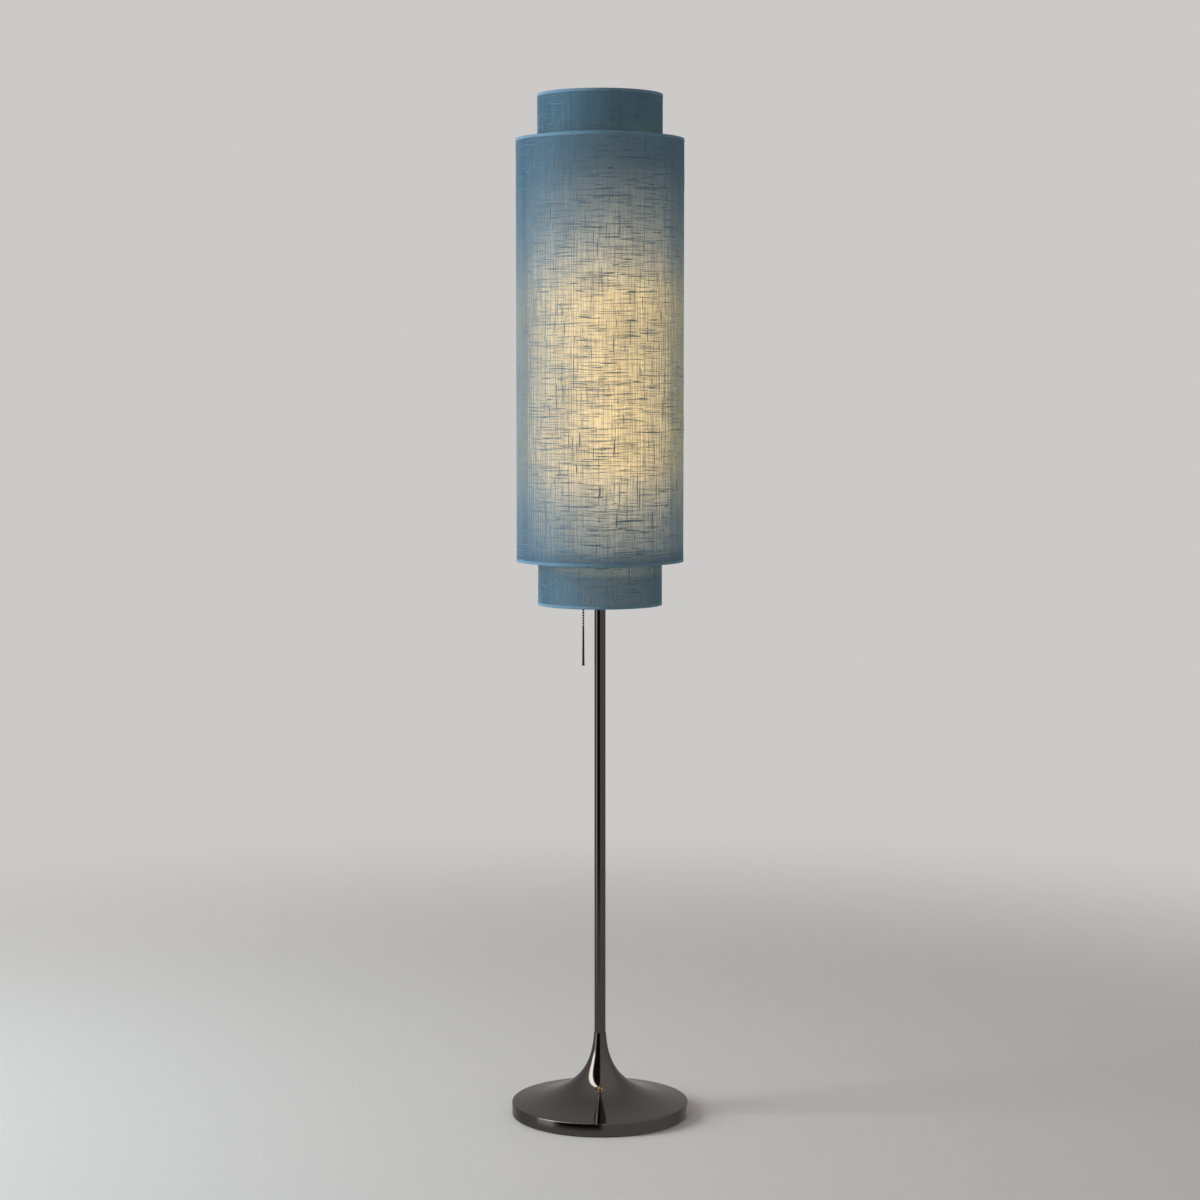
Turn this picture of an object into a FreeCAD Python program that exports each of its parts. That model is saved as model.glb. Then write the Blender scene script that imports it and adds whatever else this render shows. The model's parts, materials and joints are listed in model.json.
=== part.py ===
import FreeCAD, Part
import math
import os

# Column floor lamp: a weighted trumpet base, a slender pole with a stem above it,
# two lampholders on side arms, a pull-chain switch and a stepped linen shade.
# Millimetres. +Z is up, the front faces -Y, and the origin is on the floor
# under the pole's axis.

Vec = FreeCAD.Vector
UP = Vec(0, 0, 1)
RIGHT = Vec(1, 0, 0)
BACK = Vec(0, 1, 0)

# ---------------------------------------------------------------- driving sizes

overall_height = 1500.0

# Shade: a tall middle drum with a smaller drum above it and another below it.
middle_drum_diameter = 244.0
middle_drum_height = 612.0
small_drum_diameter = 181.5
small_drum_height = 63.65
fabric_thickness = 0.8
lining_thickness = 0.5
frame_wire_diameter = 3.2
frame_spoke_diameter = 2.6
frame_spoke_count = 3
spider_drop = 29.0
spider_hub_diameter = 26.0
spider_hub_thickness = 1.5
spider_bend_radius = 9.0
rim_hem = 1.2

# Pole and stem.
pole_diameter = 16.5
pole_wall = 1.2
stem_diameter = 10.0
stem_wall = 1.6
insert_length = 18.0
stem_nut_flats = 14.0
stem_nut_height = 4.0

# Base.
base_diameter = 261.5
base_neck_top = 122.4
base_wall = 1.4
neck_lip = 0.6
rim_top = 20.0
rim_foot = 1.2
rim_edge_radius = 1.6
pad_thickness = 2.0
pad_inset = 4.0
weight_thickness = 12.0
weight_hub_diameter = 46.0
weight_hub_height = 14.0
recess_diameter = 28.0
recess_depth = 8.0
nipple_length = 62.0
base_nut_flats = 17.0
base_nut_height = 4.0
washer_diameter = 24.0
washer_thickness = 1.5
cord_hole_diameter = 8.0
cord_hole_height = 9.5
bushing_diameter = 11.0
bushing_length = 12.0
bushing_flange = 2.0
cord_groove_width = 13.0

# Outline of the flared cover from its neck out to the rim, as shares of its
# own width and height.
flare_shape = [
    (0.000, 1.000),
    (0.0095, 0.882),
    (0.0324, 0.734),
    (0.0745, 0.586),
    (0.1464, 0.4375),
    (0.279, 0.283),
    (0.532, 0.125),
    (1.000, 0.000),
]

# Switch cup on the top of the pole, with the pull-chain switch in it.
cup_diameter = 64.0
cup_height = 36.0
cup_above_shade_foot = 51.8
sheet_wall = 1.2
lid_skirt = 4.0
chain_to_edge = 7.5
drum_to_stem = 5.5
drum_width = 6.0
drum_rim = 0.6
drum_height_in_cup = 20.0
drum_pin_diameter = 3.0
drum_pin_front = 8.0
switch_width = 17.0
switch_depth = 10.0
switch_gap = 2.0
switch_to_wall = 1.6
switch_height = 29.0
switch_boss_diameter = 6.0
spring_wire = 0.6
spring_radius = 2.9
spring_pitch = 0.5
spring_turns = 4
outlet_diameter = 7.0
outlet_flange_diameter = 9.6
outlet_drop = 5.0
outlet_rise = 4.0
outlet_lip = 0.6
outlet_flange_thickness = 1.3

# Pull chain and its bar.
bead_diameter = 3.2
bead_pitch = 4.0
link_diameter = 0.9
beads_in_switch = 8
beads_upper = 10
beads_lower = 8
bar_gap = 4.7
bar_length = 57.2
bar_top_diameter = 2.7
bar_low_diameter = 3.5
bar_foot_diameter = 4.2
bar_foot_height = 2.6

# Lampholders on their arms, and the bulbs.
lower_arm_height = 60.0
upper_arm_height = 251.0
arm_reach = 41.0
arm_diameter = 8.0
arm_wall = 1.0
arm_bend_radius = 14.0
arm_rise = 20.0
arm_hub_diameter = 18.0
arm_hub_height = 16.0
arm_seat = 3.0
holder_diameter = 35.0
holder_wall = 1.6
holder_cap_height = 12.0
holder_shell_height = 28.0
socket_shell_diameter = 28.4
socket_shell_wall = 0.5
socket_shell_height = 22.0
contact_diameter = 7.0
contact_height = 1.2
bulb_diameter = 60.0
bulb_length = 110.0
bulb_cap_diameter = 26.2
bulb_cap_height = 25.0
bulb_neck_diameter = 29.0
bulb_button_diameter = 8.0
bulb_wall = 1.0

# Retaining nut at the top of the stem.
knob_diameter = 19.0
knob_height = 12.0
knob_flutes = 18
knob_flute_diameter = 1.6
stem_above_hub = 8.5

# Leads inside the pole and the stem.
lead_diameter = 1.8

# Clearances.
fit_clearance = 0.05
glue_gap = 0.1
loose_clearance = 0.3
chain_clearance = 0.7

# ------------------------------------------------------------ levels and radii

shade_foot = overall_height - middle_drum_height - 2 * small_drum_height
step_low = shade_foot + small_drum_height
step_high = step_low + middle_drum_height
cup_floor = shade_foot + cup_above_shade_foot
cup_top = cup_floor + cup_height
nut_top = cup_floor + sheet_wall + stem_nut_height
weight_top = pad_thickness + weight_thickness
hub_top = weight_top + weight_hub_height
pole_radius = pole_diameter / 2
pole_bore = pole_radius - pole_wall
stem_radius = stem_diameter / 2
stem_bore = stem_radius - stem_wall
base_radius = base_diameter / 2
frame_wire = frame_wire_diameter / 2
frame_spoke = frame_spoke_diameter / 2
spider_height = overall_height - spider_drop
chain_offset = cup_diameter / 2 - chain_to_edge
drum_radius = (chain_offset - stem_radius - drum_to_stem) / 2
drum_centre_x = drum_radius - chain_offset
drum_centre_z = cup_floor + drum_height_in_cup
bead_radius = bead_diameter / 2
link_radius = link_diameter / 2


# -------------------------------------------------------------------- helpers


def tube(outer_radius, inner_radius, low, high, x=0.0, y=0.0):
    """An upright tube between two heights."""
    foot = Vec(x, y, low)
    outside = Part.makeCylinder(outer_radius, high - low, foot, UP)
    return outside.cut(Part.makeCylinder(inner_radius, high - low, foot, UP))


def disc(radius, low, high, x=0.0, y=0.0):
    """A solid upright cylinder between two heights."""
    return Part.makeCylinder(radius, high - low, Vec(x, y, low), UP)


def turned(edges, x=0.0, y=0.0):
    """The solid turned from a closed outline in the XZ plane about Z, then moved."""
    face = Part.Face(Part.Wire(edges))
    body = face.revolve(Vec(0, 0, 0), UP, 360)
    body.translate(Vec(x, y, 0))
    return body


def lines(points):
    """Straight edges through (radius, height) points."""
    corners = [Vec(radius, 0, height) for radius, height in points]
    return [Part.makeLine(a, b) for a, b in zip(corners, corners[1:])]


def closed(points):
    """The same, closed back to its first point."""
    return lines(points + points[:1])


def hex_nut(flats, bore_radius, low, high):
    """A hexagon nut on the lamp's axis."""
    corner = flats / 2 / math.cos(math.pi / 6)
    ring = []
    for i in range(7):
        angle = i * math.pi / 3
        ring.append(Vec(corner * math.cos(angle), corner * math.sin(angle), low))
    body = Part.Face(Part.makePolygon(ring)).extrude(UP * (high - low))
    return body.cut(disc(bore_radius, low, high))


def bent_path(points, bend_radius):
    """Straight runs through the points, joined by tangent arcs of one radius."""
    edges = []
    start = points[0]
    for before, corner, after in zip(points, points[1:], points[2:]):
        back = (before - corner).normalize()
        ahead = (after - corner).normalize()
        half_angle = back.getAngle(ahead) / 2
        reach = bend_radius / math.tan(half_angle)
        middle = (back + ahead).normalize()
        centre = corner + middle * (bend_radius / math.sin(half_angle))
        enter = corner + back * reach
        leave = corner + ahead * reach
        crown = centre - middle * bend_radius
        edges.append(Part.makeLine(start, enter))
        edges.append(Part.Arc(enter, crown, leave).toShape())
        start = leave
    edges.append(Part.makeLine(start, points[-1]))
    return Part.Wire(edges)


def swept_rod(points, bend_radius, rod_radius):
    """A round rod bent along the points."""
    path = bent_path(points, bend_radius)
    heading = (points[1] - points[0]).normalize()
    section = Part.Wire([Part.makeCircle(rod_radius, points[0], heading)])
    return path.makePipeShell([section], True, False)


def radial(radius, angle_degrees, height):
    """A point at a radius and an angle about the lamp's axis."""
    angle = math.radians(angle_degrees)
    return Vec(radius * math.cos(angle), radius * math.sin(angle), height)


def spoke_angles():
    """Evenly spaced directions, the first one straight to the back."""
    return [90 + i * 360 / frame_spoke_count for i in range(frame_spoke_count)]


def wire_ring(radius, height):
    """A ring of frame wire about the lamp's axis."""
    return Part.makeTorus(radius, frame_wire, Vec(0, 0, height), UP)


# ----------------------------------------------------------------------- base


def flare_curve(inset):
    """The cover's flared outline, moved inwards at right angles by the inset."""
    neck = pole_radius + fit_clearance + neck_lip
    width = base_radius - rim_edge_radius - neck
    height = base_neck_top - rim_top
    spots = [Vec(neck + f * width, 0, rim_top + g * height) for f, g in flare_shape]
    outline = Part.BSplineCurve()
    outline.interpolate(spots)
    if inset == 0:
        return outline
    moved = []
    for spot in spots:
        tangent = outline.tangent(outline.parameter(spot))[0]
        moved.append(spot - Vec(-tangent.z, 0, tangent.x) * inset)
    moved[0].x = pole_radius + fit_clearance
    moved[0].z = base_neck_top
    inner = Part.BSplineCurve()
    inner.interpolate(moved)
    return inner


def cord_hole(radius, start, length):
    """A round bar along the cord's way out at the back of the rim."""
    return Part.makeCylinder(radius, length, Vec(0, start, cord_hole_height), BACK)


def base_cover():
    """Spun trumpet shell: neck, flare, a crisp edge and a low upright rim."""
    outer = flare_curve(0)
    inner = flare_curve(base_wall)
    edge_in = outer.EndPoint
    edge_out = Vec(base_radius, 0, edge_in.z - rim_edge_radius)
    turn = rim_edge_radius * math.sqrt(0.5)
    edge_mid = Vec(edge_in.x + turn, 0, edge_out.z + turn)
    foot_out = Vec(base_radius, 0, rim_foot)
    foot_in = Vec(base_radius - base_wall, 0, rim_foot)
    inner_edge = inner.EndPoint
    wall_top = Vec(foot_in.x, 0, inner_edge.z)
    edges = [
        outer.toShape(),
        Part.Arc(edge_in, edge_mid, edge_out).toShape(),
        Part.makeLine(edge_out, foot_out),
        Part.makeLine(foot_out, foot_in),
        Part.makeLine(foot_in, wall_top),
        Part.makeLine(wall_top, inner_edge),
        inner.toShape(),
        Part.makeLine(inner.StartPoint, outer.StartPoint),
    ]
    cover = turned(Part.__sortEdges__(edges))
    hole = cord_hole(bushing_diameter / 2 + fit_clearance, base_radius - bushing_length, bushing_length)
    return cover.cut(hole).cut(disc(pole_radius + fit_clearance, hub_top, base_neck_top))


def base_weight():
    """Cast disc under the cover, with a hub for the pole and a groove for the cord."""
    radius = base_radius - base_wall - loose_clearance
    body = disc(radius, pad_thickness, weight_top)
    body = body.fuse(disc(weight_hub_diameter / 2, weight_top, hub_top))
    body = body.cut(disc(stem_radius + loose_clearance, pad_thickness, hub_top))
    body = body.cut(disc(recess_diameter / 2, pad_thickness, pad_thickness + recess_depth))
    groove_top = cord_hole_height + cord_groove_width / 2
    corner = Vec(-cord_groove_width / 2, 0, pad_thickness)
    size = (cord_groove_width, radius, groove_top - pad_thickness)
    return body.cut(Part.makeBox(*size, corner)).removeSplitter()


def foot_pad():
    """Thin pad that the lamp stands on."""
    return disc(base_radius - pad_inset, 0, pad_thickness)


def nipple_foot():
    """Height of the lower end of the threaded tube that holds the base together."""
    return pad_thickness + recess_depth - washer_thickness - base_nut_height - fit_clearance


def base_nipple():
    """Hollow threaded tube from the recess under the weight up into the pole."""
    foot = nipple_foot()
    return tube(stem_radius, stem_bore, foot, foot + nipple_length)


def base_washer():
    """Plain washer in the recess under the weight."""
    top = pad_thickness + recess_depth
    return tube(washer_diameter / 2, stem_radius + fit_clearance, top - washer_thickness, top)


def base_nut():
    """Nut that draws the weight, the cover and the pole together."""
    top = pad_thickness + recess_depth - washer_thickness
    return hex_nut(base_nut_flats, stem_radius + fit_clearance, top - base_nut_height, top)


def cord_bushing():
    """Flanged sleeve that lines the cord's hole in the rim, flush outside."""
    outer_end = base_radius - fit_clearance
    start = outer_end - bushing_length
    sleeve = cord_hole(bushing_diameter / 2, start, bushing_length)
    flange_start = base_radius - base_wall - bushing_flange - 2 * fit_clearance
    flange = cord_hole(bushing_diameter / 2 + fit_clearance * 10, flange_start, bushing_flange)
    body = sleeve.fuse(flange)
    return body.cut(cord_hole(cord_hole_diameter / 2, start, bushing_length))


# ------------------------------------------------------------- pole and stem


def pole_tube():
    """Polished pole from the weight's hub up to the switch cup."""
    return tube(pole_radius, pole_bore, hub_top, cup_floor)


def pole_foot_insert():
    """Threaded plug in the pole's lower end."""
    return tube(pole_bore - fit_clearance, stem_radius + fit_clearance, hub_top, hub_top + insert_length)


def pole_top_insert():
    """Threaded plug in the pole's upper end."""
    return tube(pole_bore - fit_clearance, stem_radius + fit_clearance, cup_floor - insert_length, cup_floor)


def stem_tube():
    """Threaded stem from the pole's upper plug to the retaining nut."""
    top = spider_height + spider_hub_thickness + stem_above_hub
    return tube(stem_radius, stem_bore, cup_floor - insert_length, top)


def stem_nuts():
    """Two lock nuts: one on the cup's floor and one on its lid."""
    bore = stem_radius + fit_clearance
    floor_top = cup_floor + sheet_wall
    lid_top = cup_top + sheet_wall
    low_nut = hex_nut(stem_nut_flats, bore, floor_top, nut_top)
    high_nut = hex_nut(stem_nut_flats, bore, lid_top, lid_top + stem_nut_height)
    return Part.makeCompound([low_nut, high_nut])


def inner_leads():
    """Two insulated leads inside the pole and the stem, up to the upper arm."""
    low = nipple_foot() + nipple_length / 2
    high = cup_floor + upper_arm_height
    radius = lead_diameter / 2
    offset = stem_bore - radius - loose_clearance
    return Part.makeCompound([disc(radius, low, high, x) for x in (-offset, offset)])


# ---------------------------------------------------------------- switch cup


def switch_cup():
    """Spun cup on the pole's top that holds the switch."""
    body = disc(cup_diameter / 2, cup_floor, cup_top)
    body = body.cut(disc(cup_diameter / 2 - sheet_wall, cup_floor + sheet_wall, cup_top))
    body = body.cut(disc(stem_radius + fit_clearance, cup_floor, cup_top))
    outlet_hole = disc(outlet_diameter / 2 + fit_clearance, cup_floor, cup_top, -chain_offset)
    return body.cut(outlet_hole)


def cup_lid():
    """Lid with a short skirt inside the cup's mouth."""
    bore = stem_radius + fit_clearance
    skirt_radius = cup_diameter / 2 - sheet_wall - fit_clearance
    plate = tube(cup_diameter / 2, bore, cup_top, cup_top + sheet_wall)
    skirt = tube(skirt_radius, skirt_radius - sheet_wall, cup_top - lid_skirt, cup_top)
    return plate.fuse(skirt).removeSplitter()


def drum_bar(radius, low_y, high_y):
    """A round bar along the chain drum's axis."""
    start = Vec(drum_centre_x, low_y, drum_centre_z)
    return Part.makeCylinder(radius, high_y - low_y, start, BACK)


def switch_body():
    """Moulded switch block behind the chain drum, standing on the cup's floor. Where
    it would meet the stem's lock nut, it is cut away."""
    front = drum_width / 2 + switch_gap
    wall = cup_diameter / 2 - sheet_wall - switch_to_wall
    side = -((wall**2 - (front + switch_depth) ** 2) ** 0.5)
    corner = Vec(side, front, cup_floor + sheet_wall)
    block = Part.makeBox(switch_width, switch_depth, switch_height, corner)
    boss = drum_bar(switch_boss_diameter / 2, drum_width / 2 + loose_clearance, front)
    pin_hole = drum_bar(drum_pin_diameter / 2, 0, front + switch_depth)
    nut_room = disc(stem_nut_flats / 3**0.5 + loose_clearance, cup_floor, nut_top + loose_clearance)
    return block.fuse(boss).cut(pin_hole).cut(nut_room)


def drum_pin():
    """Pin that the chain drum turns on, fixed in the switch block."""
    tail = drum_width / 2 + switch_gap + switch_depth
    return drum_bar(drum_pin_diameter / 2, -drum_pin_front, tail)


def pull_drum():
    """Grooved drum that the chain turns."""
    body = drum_bar(drum_radius + drum_rim, -drum_width / 2, drum_width / 2)
    groove_radius = bead_radius + loose_clearance
    centre = Vec(drum_centre_x, 0, drum_centre_z)
    body = body.cut(Part.makeTorus(drum_radius, groove_radius, centre, BACK))
    return body.cut(drum_bar(drum_pin_diameter / 2 + fit_clearance, -drum_width, drum_width))


def return_spring():
    """Close-wound return spring on the pin in front of the drum."""
    coils = []
    for turn in range(spring_turns):
        front = -drum_width / 2 - loose_clearance - spring_wire / 2 - turn * spring_pitch
        centre = Vec(drum_centre_x, front, drum_centre_z)
        coils.append(Part.makeTorus(spring_radius, spring_wire / 2, centre, BACK))
    return coils[0].multiFuse(coils[1:])


def chain_outlet():
    """Bell-mouthed sleeve in the cup's floor that guides the chain."""
    low = cup_floor - outlet_drop
    high = cup_floor + sheet_wall + outlet_rise
    bore = bead_radius + chain_clearance
    wide = outlet_diameter / 2
    flange = outlet_flange_diameter / 2
    flange_low = cup_floor + sheet_wall
    outline = [
        (bore + outlet_lip, low),
        (wide + outlet_lip, low),
        (wide + outlet_lip, low + outlet_lip),
        (wide, low + 2 * outlet_lip),
        (wide, flange_low),
        (flange, flange_low),
        (flange, flange_low + outlet_flange_thickness),
        (wide, flange_low + outlet_flange_thickness),
        (wide, high),
        (bore, high),
        (bore, low + 2 * outlet_lip),
    ]
    return turned(closed(outline), -chain_offset)


# ---------------------------------------------------------------- pull chain


def bead_height(index):
    """Height of a bead's centre, counted down from the drum."""
    return drum_centre_z - index * bead_pitch


def bead_run(first, count, hangs_from_joint, tail=0.0):
    """A straight run of beads on their links, turned as one piece. A run that hangs
    from the bead above starts with a link just clear of that bead, and a tail is
    the link below the last bead."""
    neck = math.sqrt(bead_radius**2 - link_radius**2)
    edges = []
    if hangs_from_joint:
        top = bead_height(first - 1) - bead_radius - loose_clearance
        last_point = Vec(link_radius, 0, top)
        edges.append(Part.makeLine(Vec(0, 0, top), last_point))
    for index in range(first, first + count):
        middle = bead_height(index)
        enter = Vec(link_radius, 0, middle + neck)
        if edges:
            edges.append(Part.makeLine(last_point, enter))
        else:
            top = middle + bead_radius
            enter = Vec(0, 0, top)
        last_point = Vec(link_radius, 0, middle - neck)
        if index == first + count - 1 and not tail:
            last_point = Vec(0, 0, middle - bead_radius)
        edges.append(Part.Arc(enter, Vec(bead_radius, 0, middle), last_point).toShape())
    low = middle - bead_radius
    if tail:
        low = middle - tail
        foot = Vec(link_radius, 0, low)
        edges.append(Part.makeLine(last_point, foot))
        edges.append(Part.makeLine(foot, Vec(0, 0, low)))
    edges.append(Part.makeLine(Vec(0, 0, low), Vec(0, 0, top)))
    return turned(edges, -chain_offset)


def chain_top():
    """Beads inside the switch and its outlet, which only move up and down."""
    return bead_run(0, beads_in_switch, False)


def chain_upper():
    """Beads below the outlet, which swing forwards and backwards."""
    return bead_run(beads_in_switch, beads_upper, True)


def chain_lower():
    """Beads above the bar, which swing from side to side, and the bar's link."""
    return bead_run(beads_in_switch + beads_upper, beads_lower, True, bar_gap)


def bar_top():
    """Height of the pull bar's upper end."""
    last = beads_in_switch + beads_upper + beads_lower - 1
    return bead_height(last) - bar_gap


def pull_bar():
    """Slim turned bar that widens to a small rounded foot."""
    top = bar_top()
    low = top - bar_length
    chamfer = bar_top_diameter / 4
    foot = bar_foot_diameter / 2
    outline = [
        (0, low),
        (foot - chamfer, low),
        (foot, low + chamfer),
        (foot, low + bar_foot_height - chamfer),
        (bar_low_diameter / 2, low + bar_foot_height),
        (bar_top_diameter / 2, top - chamfer),
        (bar_top_diameter / 2 - chamfer, top),
        (0, top),
    ]
    return turned(closed(outline), -chain_offset)


# -------------------------------------------------------- lampholders and bulbs


def arm_level(above_cup):
    """Height of an arm's axis."""
    return cup_floor + above_cup


def arm_hub(above_cup, side):
    """Collar on the stem that carries one arm."""
    middle = arm_level(above_cup)
    half = arm_hub_height / 2
    body = tube(arm_hub_diameter / 2, stem_radius + fit_clearance, middle - half, middle + half)
    start = Vec(0, 0, middle)
    socket = Part.makeCylinder(arm_diameter / 2 + fit_clearance, arm_hub_diameter, start, RIGHT * side)
    return body.cut(socket)


def arm_tube(above_cup, side):
    """Bent tube from the collar out and up to the lampholder."""
    level = arm_level(above_cup)
    inner_end = stem_radius + arm_seat / 2
    points = [
        Vec(side * inner_end, 0, level),
        Vec(side * arm_reach, 0, level),
        Vec(side * arm_reach, 0, level + arm_rise + arm_seat),
    ]
    outer = swept_rod(points, arm_bend_radius, arm_diameter / 2)
    inner = swept_rod(points, arm_bend_radius, arm_diameter / 2 - arm_wall)
    return outer.cut(inner)


def holder_foot(above_cup):
    """Height of the underside of a lampholder."""
    return arm_level(above_cup) + arm_rise


def holder_cap(above_cup, side):
    """Lower cap of the lampholder, seated on the arm's end."""
    x = side * arm_reach
    low = holder_foot(above_cup)
    high = low + holder_cap_height
    radius = holder_diameter / 2
    body = disc(radius, low, high, x)
    body = body.cut(disc(radius - holder_wall, low + holder_wall, high, x))
    body = body.cut(disc(arm_diameter / 2 + fit_clearance, low, high, x))
    lower_edge = [edge for edge in body.Edges if abs(edge.BoundBox.ZMax - low) < fit_clearance]
    widest = max(lower_edge, key=lambda edge: edge.Length)
    return body.makeFillet(holder_wall - fit_clearance, [widest])


def holder_insulator(above_cup, side):
    """Porcelain block inside the lampholder."""
    low = holder_foot(above_cup) + arm_seat + holder_wall
    high = holder_foot(above_cup) + holder_cap_height
    return disc(holder_diameter / 2 - holder_wall - fit_clearance, low, high, side * arm_reach)


def centre_contact(above_cup, side):
    """Brass contact on the porcelain block."""
    low = holder_foot(above_cup) + holder_cap_height
    return disc(contact_diameter / 2, low, low + contact_height, side * arm_reach)


def socket_shell(above_cup, side):
    """Brass screw shell around the bulb's cap."""
    low = holder_foot(above_cup) + holder_cap_height
    outer = socket_shell_diameter / 2
    return tube(outer, outer - socket_shell_wall, low, low + socket_shell_height, side * arm_reach)


def holder_shell(above_cup, side):
    """Outer shell of the lampholder."""
    low = holder_foot(above_cup) + holder_cap_height
    outer = holder_diameter / 2
    return tube(outer, outer - holder_wall, low, low + holder_shell_height, side * arm_reach)


def bulb_foot(above_cup):
    """Height of the lower end of a bulb's cap."""
    return holder_foot(above_cup) + holder_cap_height + contact_height


def bulb_cap(above_cup, side):
    """Screw cap of the bulb with its contact button."""
    low = bulb_foot(above_cup)
    radius = bulb_cap_diameter / 2
    button = bulb_button_diameter / 2
    outline = [
        (0, low),
        (button, low),
        (button, low + 1),
        (radius, low + button),
        (radius, low + bulb_cap_height),
        (0, low + bulb_cap_height),
    ]
    return turned(closed(outline), side * arm_reach)


def bulb_body(inset, low):
    """A solid pear-shaped bulb from its neck to the top of its globe."""
    globe = bulb_diameter / 2
    centre = low + bulb_length - globe
    globe_in = globe - inset
    join_angle = math.radians(-24)
    join = Vec(globe_in * math.cos(join_angle), 0, centre + globe_in * math.sin(join_angle))
    neck = bulb_neck_diameter / 2 - inset
    neck_low = low + bulb_cap_height
    neck_high = neck_low + neck / 2
    shoulder = Vec((neck + join.x) / 2, 0, (neck_high + join.z) / 2 + 1)
    side_curve = Part.BSplineCurve()
    side_curve.interpolate(
        [Vec(neck, 0, neck_high), shoulder, join],
        InitialTangent=UP,
        FinalTangent=Vec(-math.sin(join_angle), 0, math.cos(join_angle)),
    )
    top = Vec(0, 0, centre + globe_in)
    foot = Vec(0, 0, neck_low)
    return turned(
        [
            Part.makeLine(foot, Vec(neck, 0, neck_low)),
            Part.makeLine(Vec(neck, 0, neck_low), Vec(neck, 0, neck_high)),
            side_curve.toShape(),
            Part.Arc(join, Vec(globe_in, 0, centre), top).toShape(),
            Part.makeLine(top, foot),
        ]
    )


def bulb_glass(above_cup, side):
    """Hollow opal globe with its neck on the cap."""
    low = bulb_foot(above_cup)
    globe = bulb_body(0, low).cut(bulb_body(bulb_wall, low))
    globe.translate(RIGHT * side * arm_reach)
    return globe


# ---------------------------------------------------------------------- shade


def drum_fabric(diameter, low, high):
    """Linen of one drum."""
    return tube(diameter / 2, diameter / 2 - fabric_thickness, low, high)


def lining_inner_radius(diameter):
    """Inner radius of the lining of a drum."""
    return diameter / 2 - fabric_thickness - glue_gap - lining_thickness


def drum_lining(diameter, low, high):
    """Stiff white lining bonded inside the linen."""
    inner = lining_inner_radius(diameter)
    return tube(inner + lining_thickness, inner, low, high)


def step_ring_radius():
    """Radius of the ring that the edge of a small drum is bound to."""
    return small_drum_diameter / 2 - (fabric_thickness + glue_gap + lining_thickness) / 2


def outer_ring_radius():
    """Radius of a ring inside the middle drum."""
    return lining_inner_radius(middle_drum_diameter) - frame_wire - glue_gap


def spokes(inner_radius, outer_radius, height):
    """Straight wires between two rings."""
    length = outer_radius - inner_radius
    rods = []
    for angle in spoke_angles():
        start = radial(inner_radius, angle, height)
        rods.append(Part.makeCylinder(frame_spoke, length, start, radial(1, angle, 0)))
    return rods


def upper_frame():
    """Wire frame that joins the middle drum's top to the upper drum's foot."""
    height = step_high - frame_wire - glue_gap
    outer = wire_ring(outer_ring_radius(), height)
    pieces = [wire_ring(step_ring_radius(), height)]
    pieces += spokes(step_ring_radius(), outer_ring_radius(), height)
    return outer.multiFuse(pieces)


def lower_frame():
    """Wire frame that joins the middle drum's foot to the lower drum's top."""
    height = step_low + frame_wire + glue_gap
    outer = wire_ring(outer_ring_radius(), height)
    pieces = [wire_ring(step_ring_radius(), height)]
    pieces += spokes(step_ring_radius(), outer_ring_radius(), height)
    return outer.multiFuse(pieces)


def rim_ring_radius():
    """Radius of a ring inside the free edge of a small drum."""
    return lining_inner_radius(small_drum_diameter) - frame_wire - glue_gap


def lower_rim_ring():
    """Wire ring inside the lower drum's free edge."""
    return wire_ring(rim_ring_radius(), shade_foot + frame_wire + rim_hem)


def top_spider():
    """Ring inside the upper drum's free edge, with bent arms down to a flat hub
    that sits on the stem."""
    ring_height = overall_height - frame_wire - rim_hem
    hub_radius = spider_hub_diameter / 2
    hub_middle = spider_height + spider_hub_thickness / 2
    hub = disc(hub_radius, spider_height, spider_height + spider_hub_thickness)
    pieces = [wire_ring(rim_ring_radius(), ring_height)]
    for angle in spoke_angles():
        points = [
            radial(hub_radius - 2 * frame_wire, angle, hub_middle),
            radial(rim_ring_radius(), angle, hub_middle),
            radial(rim_ring_radius(), angle, ring_height),
        ]
        pieces.append(swept_rod(points, spider_bend_radius, frame_spoke))
    bore = disc(stem_radius + fit_clearance, spider_height - frame_wire_diameter, overall_height)
    return hub.multiFuse(pieces).cut(bore)


def seat_nut():
    """Nut on the stem that the shade's hub sits on."""
    high = spider_height - frame_wire
    return hex_nut(base_nut_flats, stem_radius + fit_clearance, high - base_nut_height, high)


def seat_washer():
    """Washer between the seat nut and the shade's hub."""
    low = spider_height - frame_wire
    reach = spider_hub_diameter / 2 - 3 * frame_wire
    return tube(reach, stem_radius + fit_clearance, low, spider_height)


def retaining_nut():
    """Fluted round nut that holds the shade down."""
    low = spider_height + spider_hub_thickness + loose_clearance
    body = disc(knob_diameter / 2, low, low + knob_height)
    for i in range(knob_flutes):
        spot = radial(knob_diameter / 2, i * 360 / knob_flutes, 0)
        body = body.cut(disc(knob_flute_diameter / 2, low, low + knob_height, spot.x, spot.y))
    return body.cut(disc(stem_radius + fit_clearance, low, low + stem_above_hub))


# ----------------------------------------------------------------------- parts


def lamp_parts(name, above_cup, side):
    """The pieces of one arm, its lampholder and its bulb."""
    return {
        name + "_arm_hub": arm_hub(above_cup, side),
        name + "_arm_tube": arm_tube(above_cup, side),
        name + "_holder_cap": holder_cap(above_cup, side),
        name + "_holder_insulator": holder_insulator(above_cup, side),
        name + "_centre_contact": centre_contact(above_cup, side),
        name + "_socket_shell": socket_shell(above_cup, side),
        name + "_holder_shell": holder_shell(above_cup, side),
        name + "_bulb_cap": bulb_cap(above_cup, side),
        name + "_bulb_glass": bulb_glass(above_cup, side),
    }


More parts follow.
